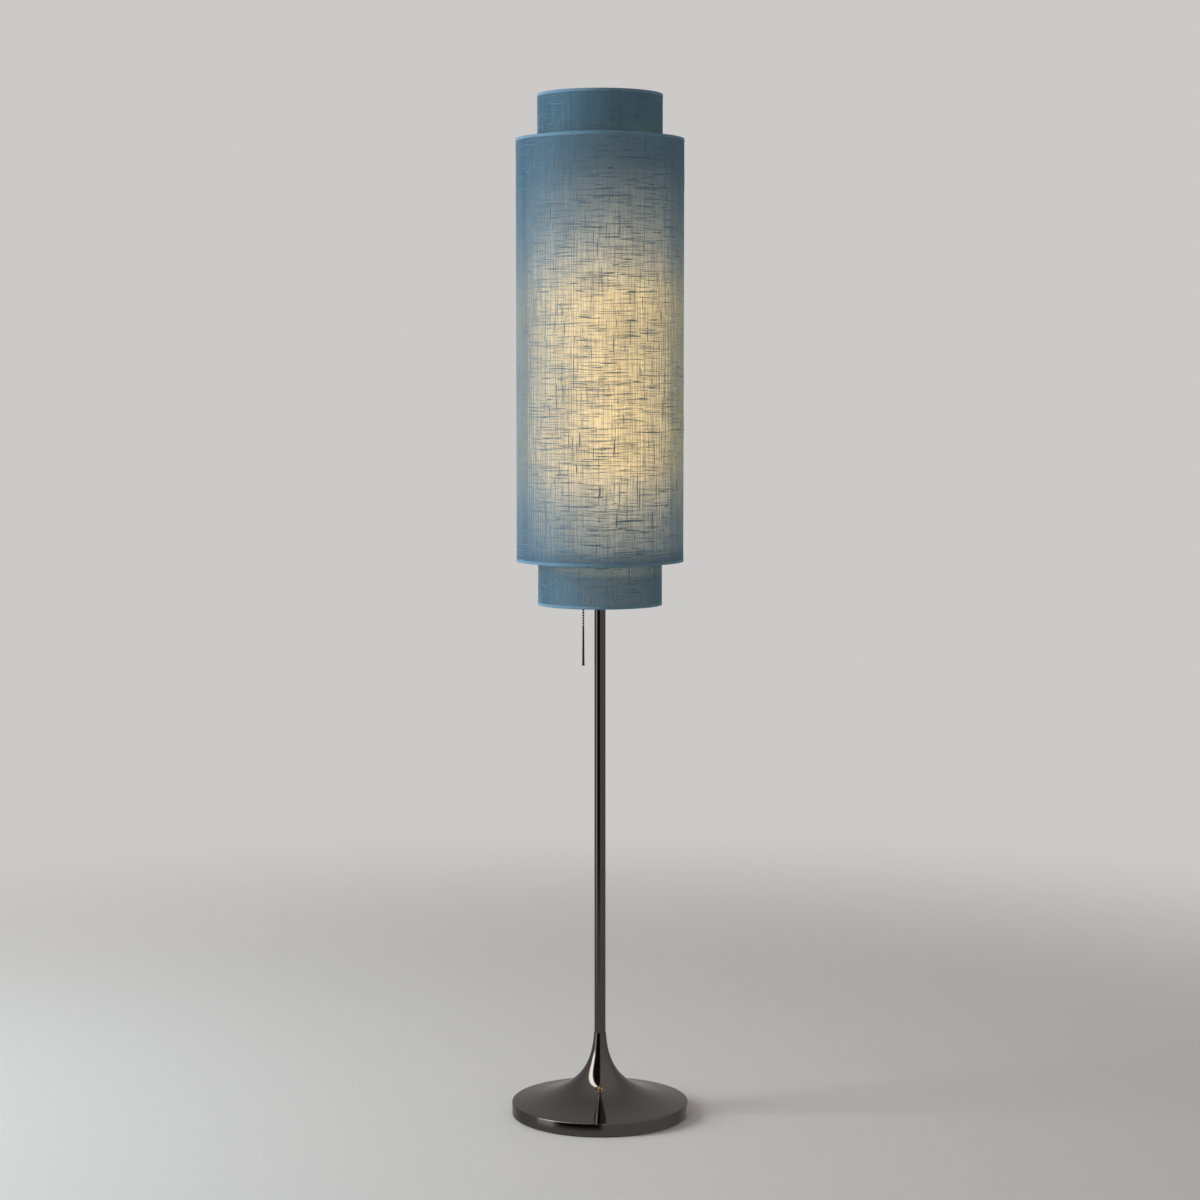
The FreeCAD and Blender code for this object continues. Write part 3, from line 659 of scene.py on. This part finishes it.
def weave_drum(linen, drum, glow, place):
    """One drum: its ground, the threads and slubs on it, two hems and the seam. The
    ground lets most light through, and the hems and the seam none."""
    ground = linen_material(drum + "_ground", linen, 1.13, glow, 0.82)
    yarn = linen_material(drum + "_yarn", linen, 0.16, glow, 0.2)
    slub_yarn = linen_material(drum + "_slub_yarn", linen, 0.05, glow, 0.2, 0.66)
    hem_cloth = linen_material(drum + "_hem_cloth", linen, 0.0, None, 0.0)
    low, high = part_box(drum + "_linen")
    base = high.x - linen.relief
    points, quads, uv = sleeve(high.x - CLOTH_WALL, base, low.z, high.z, DRUM_SEGMENTS)
    cloth = make_piece(drum + "_cloth", points, quads, "shade", ground,
                       [drum + "_linen"], uv)

    def lay(word, points, quads, material):
        """A piece that lies on the cloth and goes with it."""
        make_piece(drum + word, points, quads, "shade", material,
                                     uv=cloth_map(points, quads, base))

    lay("_threads", *upright_threads(linen, base, low.z + THREAD_INSET,
                                     high.z - THREAD_INSET, THREAD_SEED + place), yarn)
    lay("_lying_slubs", *slubs(linen, base, low.z, high.z, LYING_SEED + place, False,
                               linen.slub_density), slub_yarn)
    lay("_upright_slubs", *slubs(linen, base, low.z, high.z, UPRIGHT_SEED + place, True,
                                 linen.slub_density * UPRIGHT_SHARE), slub_yarn)
    for word, start in (("_lower_hem", low.z), ("_upper_hem", high.z - linen.hem)):
        points, quads, _ = rolled_edge(high.x - HEM_INSET, start, start + linen.hem,
                                       DRUM_SEGMENTS, HEM_BULGE)
        lay(word, points, quads, hem_cloth)
    lay("_seam", *lap_seam(base, low.z + linen.hem, high.z - linen.hem, SEAM_WIDTH,
                           linen.relief + SEAM_RISE), hem_cloth)


class LAMP_OT_linen(bpy.types.Operator):
    """Make the woven linen of the three drums"""

    bl_idname = "lamp.linen"
    bl_label = "Linen drums"

    def execute(self, context):
        linen = settings(context, "lamp_linen")
        for place, (drum, glow) in enumerate(GLOWS.items()):
            weave_drum(linen, drum, glow, place)
        return {"FINISHED"}


# ------------------------------------------------------------------- the metal


# Outline of the flared cover, as shares of its own width and height.
FLARE = [(0.0, 1.0), (0.0095, 0.882), (0.0324, 0.734), (0.0745, 0.586),
         (0.1464, 0.4375), (0.279, 0.283), (0.532, 0.125), (1.0, 0.0)]


def smooth_through(points, count):
    """A curve through the points: a natural cubic spline of each coordinate against
    the distance along the chords, solved as one linear system."""
    points = np.asarray(points, float)
    chord = np.concatenate([[0], np.cumsum(np.hypot(*np.diff(points, axis=0).T))])
    gap = np.diff(chord)
    size = len(points)
    system = np.eye(size)
    right = np.zeros((size, 2))
    slope = np.diff(points, axis=0) / gap[:, None]
    for k in range(1, size - 1):
        system[k, k - 1:k + 2] = gap[k - 1], 2 * (gap[k - 1] + gap[k]), gap[k]
        right[k] = 6 * (slope[k] - slope[k - 1])
    bend = np.linalg.solve(system, right)
    where = np.linspace(0, chord[-1], count)
    k = np.clip(np.searchsorted(chord, where, side="right") - 1, 0, size - 2)
    before = (where - chord[k])[:, None]
    after = (chord[k + 1] - where)[:, None]
    width = gap[k][:, None]
    return (bend[k] * after**3 + bend[k + 1] * before**3) / (6 * width) + (
        points[k] / width - bend[k] * width / 6) * after + (
        points[k + 1] / width - bend[k + 1] * width / 6) * before


def base_profile():
    """The cover's closed outline: flare, rounded crease, upright rim, and the same
    back inside it."""
    low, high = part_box("base_cover")
    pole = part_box("pole_tube")[1].x
    wall, edge, crease = 1.4 * MM, 1.6 * MM, 20.0 * MM
    neck_gap, least_gap, bevel = 0.65 * MM, 0.03 * MM, 0.4 * MM
    rim = high.y
    neck = pole + neck_gap
    width = rim - edge - neck
    spots = [(neck + f * width, crease + g * (high.z - crease)) for f, g in FLARE]
    outer = smooth_through(spots, 72)
    t = np.linspace(0, math.pi / 2, 7)[1:]
    corner = np.stack([rim - edge + edge * np.sin(t), crease - edge + edge * np.cos(t)], axis=-1)
    side = np.array([(rim, low.z + bevel), (rim - bevel, low.z)])
    inner = outer[::-1] - wall
    inner[:, 0] = np.maximum(inner[:, 0], pole + least_gap)
    inner[-1, 1] = high.z
    foot = np.array([(rim - wall, low.z), (rim - wall, crease - edge - wall)])
    return np.concatenate([outer, corner, side, foot, inner])


class LAMP_OT_metal(bpy.types.Operator):
    """Make the polished cover of the base and the pole"""

    bl_idname = "lamp.metal"
    bl_label = "Base and pole"

    def execute(self, context):
        metal = settings(context, "lamp_metal")
        nickel = nickel_material("black_nickel", metal, metal.polish)
        points, quads, fans = turned(base_profile(), 256)
        make_piece("polished_base", points, quads, "stand", nickel,
                   ["base_cover"], triangles=fans)
        low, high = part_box("pole_tube")
        wall, ease = 1.2 * MM, 0.3 * MM
        radius = high.x
        levels = np.linspace(low.z + ease, high.z - ease, 24)
        outer = [(radius - ease, low.z), *((radius, z) for z in levels), (radius - ease, high.z)]
        inner = [(radius - wall, high.z), (radius - wall, low.z)]
        points, quads, fans = turned(outer + inner, 96)
        make_piece("polished_pole", points, quads, "stand", nickel,
                   ["pole_tube"], triangles=fans)
        return {"FINISHED"}


# -------------------------------------------------------------- chain and bulbs


def chain_start():
    """Height of the topmost bead's centre."""
    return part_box("chain_top")[1].z - BEAD_RADIUS


def bead_run(node, pitch, radius, link):
    """Beads on a link, as one turned outline: between two necks a bead bulges as
    r = sqrt(R*R - (z - zc)*(z - zc)), never under the link's radius. The beads keep
    one pitch down the whole chain, and the first is the topmost that fits the node."""
    low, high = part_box(node)
    axis = ((low.x + high.x) / 2, (low.y + high.y) / 2)
    z = chain_start() - round((chain_start() - high.z) / pitch + 0.2) * pitch
    while z > high.z - 0.5 * radius:
        z -= pitch
    profile = [(0.0, high.z)]
    if high.z - z > 1.05 * radius:
        profile.append((link, high.z))
    neck = math.asin(link / radius)
    turn = np.clip(np.linspace(0, math.pi, 11), neck, math.pi - neck)
    while z > low.z:
        profile += [(radius * math.sin(t), z + radius * math.cos(t)) for t in turn]
        z -= pitch
    bottom = profile[-1][1]
    if bottom - low.z > 0.5 * radius:
        profile.append((link, low.z))
    profile.append((0.0, min(low.z, bottom)))
    return turned(profile, 14, axis)


class LAMP_OT_pull(bpy.types.Operator):
    """Make the bead chain and the pull bar"""

    bl_idname = "lamp.pull"
    bl_label = "Pull chain"

    def execute(self, context):
        metal = settings(context, "lamp_metal")
        # The chain and the pull bar take the black nickel at 0.55 of its colour: painted shade,
        # which keeps them dark where they reflect the bright surroundings.
        chain = nickel_material("chain_nickel_painted_shade", metal, 0.2, 0.55)
        runs = {"chain_top": "chain_head", "chain_upper": "chain_middle", "chain_lower": "pull"}
        for node, body in runs.items():
            points, quads, fans = bead_run(node, BEAD_PITCH, BEAD_RADIUS, LINK_RADIUS)
            make_piece("beads_" + node, points, quads, body, chain, [node],
                       triangles=fans, sharp=60)
        low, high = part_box("pull_bar")
        axis = ((low.x + high.x) / 2, (low.y + high.y) / 2)
        foot = (high.x - low.x) / 2
        top, waist = 1.35 * MM, 1.75 * MM
        round_top = [(top * math.sin(t), high.z - top + top * math.cos(t))
                     for t in np.linspace(0, math.pi / 2, 7)]
        flare = [(waist, low.z + 3.4 * MM), (foot * 0.93, low.z + 2.6 * MM),
                 (foot, low.z + 1.9 * MM), (foot, low.z + 0.9 * MM),
                 (foot * 0.85, low.z + 0.25 * MM), (foot * 0.55, low.z)]
        points, quads, fans = turned([*round_top, *flare, (0.0, low.z)], 32, axis)
        make_piece("turned_bar", points, quads, "pull", chain, ["pull_bar"],
                   triangles=fans)
        return {"FINISHED"}


def bulb_profile(low, high, neck):
    """A solid pear: a neck, a swelling curve, and a globe (R cos t, zc + R sin t)."""
    centre = high - GLOBE_RADIUS
    join = math.radians(-24)
    widest = GLOBE_RADIUS * math.cos(join)
    shoulder = (low + neck / 2 + centre - JOIN_DROP) / 2 + MM
    spots = [(neck, low), (neck, low + neck / 2), ((neck + widest) / 2, shoulder),
             (widest, centre + GLOBE_RADIUS * math.sin(join))]
    side = smooth_through(spots, 16)
    t = np.linspace(join, math.pi / 2, 20)[1:]
    globe = np.stack([GLOBE_RADIUS * np.cos(t), centre + GLOBE_RADIUS * np.sin(t)], axis=-1)
    globe[-1, 0] = 0.0
    return np.concatenate([[(0.0, low)], side, globe])


class LAMP_OT_bulbs(bpy.types.Operator):
    """Make the two lit bulbs"""

    bl_idname = "lamp.bulbs"
    bl_label = "Bulbs"

    def execute(self, context):
        opal = bulb_material(settings(context, "lamp_stage").bulb)
        for name in ("lower", "upper"):
            low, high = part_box(name + "_bulb_glass")
            axis = ((low.x + high.x) / 2, (low.y + high.y) / 2)
            points, quads, fans = turned(bulb_profile(low.z, high.z, NECK_RADIUS), 48, axis)
            make_piece(name + "_bulb", points, quads, "stand", opal,
                       [name + "_bulb_glass"], triangles=fans)
        return {"FINISHED"}


# The grained finishes, by slot: the material's name, its colour and roughness, how many
# grains it has to a metre and how deep they are.
GRAINED = {
    "zinc_steel": ("zinc_plate", (0.56, 0.56, 0.55), 0.34, 700.0, 0.02 * MM),
    "brass": ("plain_brass", (0.74, 0.56, 0.28), 0.3, 600.0, 0.02 * MM),
    "cast_weight": ("cast_iron", (0.05, 0.05, 0.052), 0.75, 260.0, 0.25 * MM),
    "felt_pad": ("foot_foam", (0.02, 0.02, 0.021), 0.9, 900.0, 0.15 * MM),
    "black_plastic": ("moulded_black", (0.025, 0.025, 0.027), 0.5, 500.0, 0.05 * MM),
    "lead_sleeve": ("lead_sleeve", (0.62, 0.61, 0.57), 0.45, 400.0, 0.03 * MM),
    "white_lining": ("white_lining", (0.82, 0.80, 0.75), 0.6, 320.0, 0.05 * MM),
    "white_wire": ("powder_white", (0.80, 0.79, 0.75), 0.45, 900.0, 0.04 * MM),
    "porcelain": ("porcelain", (0.86, 0.84, 0.79), 0.2, 200.0, 0.01 * MM),
    "opal_glass": ("opal_plain", (0.9, 0.88, 0.8), 0.35, 300.0, 0.01 * MM),
    "lit_linen": ("linen_plain", (0.08, 0.14, 0.2), 0.9, 700.0, 0.1 * MM),
    "blue_linen": ("linen_plain_blue", (0.08, 0.14, 0.2), 0.9, 700.0, 0.1 * MM),
}
BARE_METALS = ("zinc_steel", "brass")


class LAMP_OT_finishes(bpy.types.Operator):
    """Give every carried-over piece its finish"""

    bl_idname = "lamp.finishes"
    bl_label = "Finishes"

    def execute(self, context):
        metal = settings(context, "lamp_metal")
        finishes = {
            "black_nickel": nickel_material("inner_nickel", metal, 0.14),
            "dark_chain": nickel_material("inner_chain", metal, 0.2),
            "dark_bar": nickel_material("inner_bar", metal, 0.2),
        }
        for slot, finish in GRAINED.items():
            uniform = {"Metallic": 1.0} if slot in BARE_METALS else {}
            finishes[slot] = grained_material(*finish, **uniform)
        for row in frame["record"]["subparts"]:
            node = frame["nodes"][row["node"]]
            node.data.materials.clear()
            node.data.materials.append(finishes[row["material_slot"]])
        return {"FINISHED"}


# ------------------------------------------------------------------- the stage


def floor_material(backdrop):
    """Pale floor that fades into the background with its distance from the lamp."""
    material = bpy.data.materials.new("pale_floor")
    material.use_nodes = True
    graph = Graph(material.node_tree)
    where = object_place(graph)
    away = graph.add("ShaderNodeVectorMath", {"operation": "LENGTH"}, where, out=1)
    grain = graph.noise(where, 60.0, 3.0)
    matt = graph.add("ShaderNodeBsdfPrincipled", None, Roughness=0.7)
    colour = graph.tint(rgba(backdrop), 1.12 + grain * 0.06)
    graph.tree.links.new(colour.socket, matt.socket.node.inputs["Base Color"])
    clear = graph.add("ShaderNodeBsdfTransparent")
    faded = graph.ramp(away, FLOOR_PLAIN, FLOOR_FADED)
    shown = graph.add("ShaderNodeMixShader", None, faded, matt, clear)
    graph.add("ShaderNodeOutputMaterial", None, shown)
    return material


def world_light(stage):
    """Even light from all round. Seen by the camera, in gloss and through glass it is
    the pale backdrop. In gloss it has a dark upright stretch in front on the left, a
    bright one beside it, and is dimmer behind the lamp. A bearing is in radians, 0
    towards the camera's side and more to the left."""
    world = bpy.data.worlds.new("studio")
    world.use_nodes = True
    bpy.context.scene.world = world
    graph = Graph(world.node_tree)
    way = graph.add("ShaderNodeTexCoord", out=GENERATED)
    path = graph.tree.nodes.new("ShaderNodeLightPath")
    camera = Wire(graph, path.outputs["Is Camera Ray"])
    gloss = Wire(graph, path.outputs["Is Glossy Ray"])
    through = Wire(graph, path.outputs["Is Transmission Ray"])
    x, y = graph.split(way, 0), graph.split(way, 1)
    bearing = (0.0 - x).math("ARCTAN2", 0.0 - y)
    up = graph.split(way, 2)
    above = graph.ramp(up, -0.245, -0.17)
    dark = graph.band(bearing, (-0.12, 0.04), (0.90, 1.08)) * above
    strip = graph.band(bearing, (1.04, 1.16), (1.48, 1.60))
    strip = strip * (above * 1.7 + graph.ramp(up, 0.08, 0.25) * 9.0)
    behind = graph.ramp(y, 0.0, 0.6)
    level = (0.72 + graph.ramp(up, -0.3, 0.9) * 0.35) * (1.0 - behind * 0.34)
    level = level * (1.0 - dark * 0.95) + strip
    seen = graph.tint(rgba(stage.backdrop), 1.0 - gloss * (1.0 - level))
    shows = (camera + gloss + through).math("MINIMUM", 1.0)
    even = rgba([stage.fill * part for part in EVEN_TINT])
    colour = graph.blend(shows, even, seen)
    light = graph.add("ShaderNodeBackground", None, colour, 1.0)
    graph.add("ShaderNodeOutputWorld", None, light)


def key_softbox(power):
    """The softbox on the left, turned to face the lamp and not seen in gloss."""
    light = bpy.data.lights.new("key_softbox", "AREA")
    light.shape = "RECTANGLE"
    light.size, light.size_y = KEY_WIDTH, KEY_HEIGHT
    light.energy = power
    light.color = KEY_TINT
    lamp = bpy.data.objects.new("key_softbox", light)
    lamp.location = KEY_PLACE
    facing = Vector(KEY_TARGET) - Vector(KEY_PLACE)
    lamp.rotation_euler = facing.to_track_quat("-Z", "Y").to_euler()
    lamp.visible_glossy = False
    bpy.context.scene.collection.objects.link(lamp)


def pale_floor(backdrop):
    """A square floor, not seen in gloss."""
    reach = FLOOR_REACH
    corners = [(-reach, -reach, 0), (reach, -reach, 0), (reach, reach, 0), (-reach, reach, 0)]
    mesh = bpy.data.meshes.new("floor")
    mesh.from_pydata(corners, [], [(0, 1, 2, 3)])
    mesh.materials.append(floor_material(backdrop))
    floor = bpy.data.objects.new("floor", mesh)
    bpy.context.scene.collection.objects.link(floor)
    floor.visible_glossy = False


def photo_camera():
    """The camera at the photograph's viewpoint."""
    data = bpy.data.cameras.new("photo_camera")
    data.sensor_width = SENSOR_WIDTH
    data.lens = SENSOR_WIDTH * FOCAL_PIXELS / IMAGE_SIZE
    camera = bpy.data.objects.new("photo_camera", data)
    camera.location = (0.0, -CAMERA_DISTANCE, CAMERA_HEIGHT)
    camera.rotation_euler = (math.pi / 2 - CAMERA_TILT, 0.0, 0.0)
    bpy.context.scene.collection.objects.link(camera)
    bpy.context.scene.camera = camera


class LAMP_OT_stage(bpy.types.Operator):
    """Set the floor, the light and the camera"""

    bl_idname = "lamp.stage"
    bl_label = "Stage"

    def execute(self, context):
        stage = settings(context, "lamp_stage")
        context.scene.view_settings.view_transform = "Standard"
        world_light(stage)
        key_softbox(stage.key)
        pale_floor(stage.backdrop)
        photo_camera()
        return {"FINISHED"}


class LAMP_PT_panel(bpy.types.Panel):
    """Lists the lamp's pieces and their settings"""

    bl_idname = "LAMP_PT_panel"
    bl_label = "Column floor lamp"
    bl_space_type = "VIEW_3D"
    bl_region_type = "UI"
    bl_category = "Lamp"

    def draw(self, context):
        for operator in OPERATORS:
            self.layout.operator(operator.bl_idname)
        for name in SETTINGS:
            box = self.layout.box()
            group = settings(context, name)
            for field in group.bl_rna.properties:
                if field.identifier not in {"rna_type", "name"}:
                    box.prop(group, field.identifier)


SETTINGS = {
    "lamp_linen": LampLinenSettings,
    "lamp_metal": LampMetalSettings,
    "lamp_stage": LampStageSettings,
}
OPERATORS = (LAMP_OT_stage, LAMP_OT_finishes, LAMP_OT_metal, LAMP_OT_linen,
             LAMP_OT_pull, LAMP_OT_bulbs)


def register():
    """Registers the classes and puts the settings on the scene."""
    for group in (*SETTINGS.values(), *OPERATORS, LAMP_PT_panel):
        bpy.utils.register_class(group)
    for name, group in SETTINGS.items():
        setattr(bpy.types.Scene, name, bpy.props.PointerProperty(type=group))


def unregister():
    """Takes away what register added."""
    for name in SETTINGS:
        delattr(bpy.types.Scene, name)
    for group in (LAMP_PT_panel, *OPERATORS[::-1], *SETTINGS.values()):
        bpy.utils.unregister_class(group)


def main():
    """Makes every piece."""
    register()
    bpy.ops.lamp.stage()
    bpy.ops.lamp.finishes()
    bpy.ops.lamp.metal()
    bpy.ops.lamp.linen()
    bpy.ops.lamp.pull()
    bpy.ops.lamp.bulbs()


if __name__ == "__main__":
    main()
